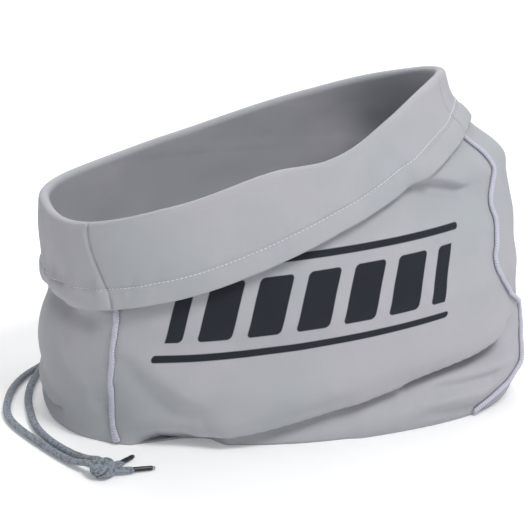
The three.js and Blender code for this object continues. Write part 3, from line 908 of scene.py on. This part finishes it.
def rounded_box(tree, x, y, half_x, half_y, corner, soft=0.0004):
    """Mask of a rounded box, from its own two coordinates."""
    over_x = math_node(tree, "SUBTRACT", math_node(tree, "ABSOLUTE", x), half_x - corner)
    over_y = math_node(tree, "SUBTRACT", math_node(tree, "ABSOLUTE", y), half_y - corner)
    held_x, held_y = math_node(tree, "MAXIMUM", over_x, 0.0), math_node(tree, "MAXIMUM", over_y, 0.0)
    square = math_node(tree, "ADD", math_node(tree, "MULTIPLY", held_x, held_x),
                       math_node(tree, "MULTIPLY", held_y, held_y))
    distance = math_node(tree, "SUBTRACT", math_node(tree, "SQRT", square), corner)
    inner = math_node(tree, "MINIMUM", math_node(tree, "MAXIMUM", over_x, over_y), 0.0)
    distance = math_node(tree, "ADD", distance, inner)
    return spread(tree, distance, -soft, soft, 1.0, 0.0)


def motif_mask(tree, lengths):
    """Printed motif of leaning bars between two rules, as a mask over the lengths on the cloth."""
    centred = add_node(tree, "ShaderNodeMapping", vector_type="TEXTURE")
    centred.inputs["Rotation"].default_value = (0, 0, math.radians(print_slant))
    tree.links.new(lengths, centred.inputs["Vector"])
    parts = add_node(tree, "ShaderNodeSeparateXYZ")
    tree.links.new(centred.outputs[0], parts.inputs[0])
    x, y = parts.outputs[0], parts.outputs[1]
    bar_pitch, bar_half, bar_height, bar_lean, bars_half = 0.036, 0.0125, 0.0215, 0.35, 0.108
    leaning = math_node(tree, "SUBTRACT", x, math_node(tree, "MULTIPLY", y, bar_lean))
    cell = math_node(tree, "PINGPONG", leaning, bar_pitch / 2)
    bars = rounded_box(tree, cell, y, bar_half, bar_height, 0.0035)
    held = rounded_box(tree, leaning, y, bars_half, bar_height + 0.01, 0.001)
    bars = math_node(tree, "MULTIPLY", bars, held)
    rule_place = math_node(tree, "SUBTRACT", math_node(tree, "ABSOLUTE", y), 0.0335)
    rules = rounded_box(tree, leaning, rule_place, 0.114, 0.0028, 0.0026)
    return math_node(tree, "MAXIMUM", bars, rules)


weave = weave_group()


def cloth_material(name, printed):
    """Fine matte weave, light grey with a faint lilac cast, with painted shade in the low points of the
    weave, and the navy print on the front.
    """
    material, tree, surface = new_material(name, {
        "Roughness": 0.88, "Sheen Weight": 0.08, "Sheen Roughness": 0.6, "Specular IOR Level": 0.2,
    })
    lengths = add_node(tree, "ShaderNodeUVMap", uv_map="UVMap").outputs["UV"]
    place = object_place(tree)
    woven = add_node(tree, "ShaderNodeGroup", node_tree=weave)
    tree.links.new(lengths, woven.inputs["Lengths"])
    clouds = noise_value(tree, place, 9, 3.0, 0.55)
    mottle = noise_value(tree, place, 60, 4.0, 0.6)
    cool, warm = (0.40, 0.422, 0.447), (0.458, 0.442, 0.482)
    tint = mix_colours(tree, spread(tree, clouds, 0.38, 0.62), cool, warm)
    tint = mix_colours(tree, spread(tree, mottle, 0.3, 0.7, 0.0, 0.10), tint, (0.36, 0.37, 0.39))
    yarn_shade = spread(tree, woven.outputs["Shade"], 0.35, 0.65, 0.0, 0.13)
    tint = mix_colours(tree, yarn_shade, tint, (0.30, 0.31, 0.33))
    height = woven.outputs["Height"]
    # Painted shade: where the weave's height is low, between the yarns, the colour is darkened.
    tint = mix_colours(tree, spread(tree, height, -1, 0.2, 0.16, 0.0), tint, (0.22, 0.23, 0.25))
    if printed:
        worn = noise_value(tree, lengths, 1500, 3.0, 0.7)
        from_print = add_node(tree, "ShaderNodeUVMap", uv_map="print_lengths").outputs["UV"]
        cover = spread(tree, worn, 0.25, 0.4, 0.86, 1.0)
        ink = math_node(tree, "MULTIPLY", motif_mask(tree, from_print), cover)
        tint = mix_colours(tree, ink, tint, (0.0095, 0.0125, 0.021))
        tree.links.new(spread(tree, ink, 0.0, 1.0, 0.88, 0.62), surface.inputs["Roughness"])
    tree.links.new(tint, surface.inputs["Base Color"])
    add_bump(tree, surface, height, 0.35, 0.00012)
    return material


plain_cloth = cloth_material("plain_bag_cloth", False)
front_panel, *front_cloth = cloth_panel("bag_front", "front")
front_panel.data.materials.append(cloth_material("printed_bag_cloth", True))
front_panel.data.materials.append(plain_cloth)
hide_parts("front_panel")
back_panel, *back_cloth = cloth_panel("bag_back", "back")
back_panel.data.materials.append(plain_cloth)
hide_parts("back_panel")


# Side seams
# The two panels are joined with an overlocked edge that shows outside on the body: pale thread wound
# closely over the raw edges, from under the cuff down to the base.
seam_foot = 0.003
seam_top_under_cuff = 0.012
thread_pitch = 0.0021
samples_per_thread = 8
thread_relief = 0.00032
thread_slant = 0.38
seam_round_steps = 20
seam_end_round = 0.0015
seam_foot_flare = 0.35
seam_wander, seam_wander_length = 0.0007, 0.014
seam_unevenness, uneven_length = 0.22, 0.009
seam_thin_end = 0.016


def overlock_material():
    """Pale lilac white thread, with painted shade in the grooves where its turns meet."""
    material, tree, surface = new_material("overlock_thread", {
        "Roughness": 0.8, "Sheen Weight": 0.3, "Specular IOR Level": 0.3,
    })
    place = object_place(tree)
    height = add_node(tree, "ShaderNodeAttribute", attribute_name="yarn_height").outputs["Fac"]
    fibre = noise_value(tree, place, 1400, 2.0, 0.7)
    tint = mix_colours(tree, spread(tree, fibre, 0.3, 0.7), (0.44, 0.445, 0.53), (0.60, 0.605, 0.69))
    # Painted shade: where yarn_height is low, between the thread's turns, the colour is darkened.
    tint = mix_colours(tree, spread(tree, height, 0.1, 0.7, 0.8, 0.0), tint, (0.2, 0.2, 0.27))
    tree.links.new(tint, surface.inputs["Base Color"])
    add_bump(tree, surface, fibre, 0.4, 0.00015)
    return material


def seam_ridge(name, node, cloth, column, width, thickness, seam_lift):
    """The overlocked edge along one join, as a grid wrapped round its line."""
    rows, grid, outward = cloth
    hem_height = grid[-1, column, 2]
    line, lifts = [], []
    for index in rows_of(rows, "wall"):
        height = grid[index, column, 2]
        if seam_foot < height < hem_height + seam_top_under_cuff:
            line.append(Vector(grid[index, column]) + Vector(outward[index, column]) * seam_lift)
            lifts.append(Vector(outward[index, column]))
    spacing = thread_pitch / samples_per_thread
    fine = smooth_path(line, spacing)
    steps = len(fine) - 1
    run = np.linspace(0, len(lifts) - 1, steps + 1)
    total = spacing * steps

    def thread_point(place, turn):
        angle = 2 * math.pi * turn / seam_round_steps
        tangent = (fine[min(place + 1, steps)] - fine[max(place - 1, 0)]).normalized()
        low = min(int(run[place]), len(lifts) - 2)
        out = lifts[low].lerp(lifts[low + 1], run[place] - low)
        side = tangent.cross(out).normalized()
        out = side.cross(tangent).normalized()
        along = place * spacing
        wind = along / thread_pitch + thread_slant * math.cos(angle)
        height = math.sqrt(abs(math.sin(math.pi * wind)))
        to_end = min(along, total - along)
        close = min(1.0, to_end / seam_end_round)
        taper = 0.4 + 0.6 * math.sqrt(1 - (1 - close) ** 2)
        flare = 1 + seam_foot_flare * math.exp(-(along / 0.006) ** 2)
        wander = seam_wander * noise.noise(Vector((along / seam_wander_length, 8.1, 0)))
        uneven = 1 + seam_unevenness * noise.noise(Vector((along / uneven_length, 2.7, 0)))
        under_cuff = min(1.0, (total - along) / seam_thin_end)
        wide = (width / 2 * uneven + thread_relief * (height - 1)) * taper * flare
        thick = (thickness / 2 * (0.45 + 0.55 * under_cuff) + thread_relief * (height - 1)) * taper
        aside = side * (wide * math.cos(angle) + wander)
        return fine[place] + aside + out * thick * math.sin(angle), height

    ridge = wrapped_tube(name, steps, seam_round_steps, thread_point)
    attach(ridge, "root")
    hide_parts(node)
    return ridge


overlock = overlock_material()
for name, node, column, width, thickness, lift in (
    ("left_overlock", "left_side_seam", 0, 0.0046, 0.0024, 0.00205),
    ("right_overlock", "right_side_seam", panel_columns, 0.0038, 0.0036, 0.0027),
):
    ridge = seam_ridge(name, node, front_cloth, column, width, thickness, lift)
    ridge.data.materials.append(overlock)


# Hem stitches
# One row of white lockstitch holds the doubled hem, 15 mm above its edge. Each stitch lies pressed a
# little into the cloth.
stitch_pitch = 0.0033
stitch_length = 0.0026
stitch_radius = 0.00036
stitch_lift = cloth_wall / 2 + 0.00028


def stitch_material():
    """White sewing thread with a little twist in its shade."""
    material, tree, surface = new_material("white_thread", {"Roughness": 0.7, "Sheen Weight": 0.3})
    place = object_place(tree)
    twist = noise_value(tree, place, 2500, 1.0)
    tint = mix_colours(tree, spread(tree, twist, 0.35, 0.65), (0.66, 0.67, 0.70), (0.86, 0.87, 0.89))
    tree.links.new(tint, surface.inputs["Base Color"])
    return material


def hem_stitches(name, cloth):
    """All stitches of one panel's hem as one joined mesh of small rounded lozenges."""
    rows, grid, outward = cloth
    row = rows.index(("hem", 0.0))
    line, lifts = grid[row], outward[row]
    steps = np.linalg.norm(np.diff(line, axis=0), axis=1)
    run = np.concatenate(([0], np.cumsum(steps)))
    count = int(run[-1] / stitch_pitch)
    mesh = bmesh.new()
    for number in range(count):
        middle = (number + 0.5) * run[-1] / count
        ends = []
        for place in (middle - stitch_length / 2, middle + stitch_length / 2):
            point = Vector([np.interp(place, run, line[:, axis]) for axis in range(3)])
            lift = Vector([np.interp(place, run, lifts[:, axis]) for axis in range(3)]).normalized()
            ends.append(point + lift * stitch_lift)
        along = (ends[1] - ends[0]).normalized()
        side = along.cross(lift).normalized()
        turn = Matrix((side, lift, along)).transposed().to_4x4()
        shape = Matrix.Diagonal((stitch_radius, stitch_radius * 0.9, stitch_length / 2, 1))
        centre = Matrix.Translation((ends[0] + ends[1]) / 2)
        bmesh.ops.create_uvsphere(mesh, u_segments=6, v_segments=5, radius=1, matrix=centre @ turn @ shape)
    piece = finished_piece(name, mesh)
    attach(piece, "root")
    return piece


white_thread = stitch_material()
for name, cloth in (("front_hem_stitches", front_cloth), ("back_hem_stitches", back_cloth)):
    hem_stitches(name, cloth).data.materials.append(white_thread)


# Surface and light
# A plain pale floor and soft studio light, the main light from the front right and above.
def floor_material():
    material, tree, surface = new_material("pale_floor", {
        "Roughness": 0.8, "Emission Color": (1, 1, 1, 1), "Emission Strength": 0.14,
    })
    place = object_place(tree)
    grain = noise_value(tree, place, 3, 2.0)
    tint = mix_colours(tree, spread(tree, grain, 0.3, 0.7), (0.88, 0.88, 0.885), (0.90, 0.90, 0.905))
    tree.links.new(tint, surface.inputs["Base Color"])
    return material


floor_mesh = bmesh.new()
bmesh.ops.create_grid(floor_mesh, x_segments=4, y_segments=4, size=6)
floor = finished_piece("floor", floor_mesh)
floor.data.materials.append(floor_material())

floor_behind = Vector((0.2, 2.4, 0))
lights = (
    ("main_light", (0.40, -1.05, 1.55), camera_target, 0.6, 21),
    ("fill_light", (-1.3, -0.9, 0.9), camera_target, 1.6, 2),
    ("top_light", (0.5, 0.5, 1.8), camera_target, 1.4, 8),
    ("back_light", (0.2, 3.2, 2.2), floor_behind, 2.6, 80),
)
for name, place, aim, size, power in lights:
    light_data = bpy.data.lights.new(name, "AREA")
    light_data.size = size
    light_data.energy = power
    light = bpy.data.objects.new(name, light_data)
    light.location = place
    light.rotation_euler = (aim - Vector(place)).to_track_quat("-Z", "Y").to_euler()
    bpy.context.scene.collection.objects.link(light)

world = bpy.data.worlds.new("studio")
world.use_nodes = True
world.node_tree.nodes["Background"].inputs["Color"].default_value = (0.97, 0.98, 1.0, 1)
world.node_tree.nodes["Background"].inputs["Strength"].default_value = 0.36
bpy.context.scene.world = world
bpy.context.scene.view_settings.view_transform = "Standard"
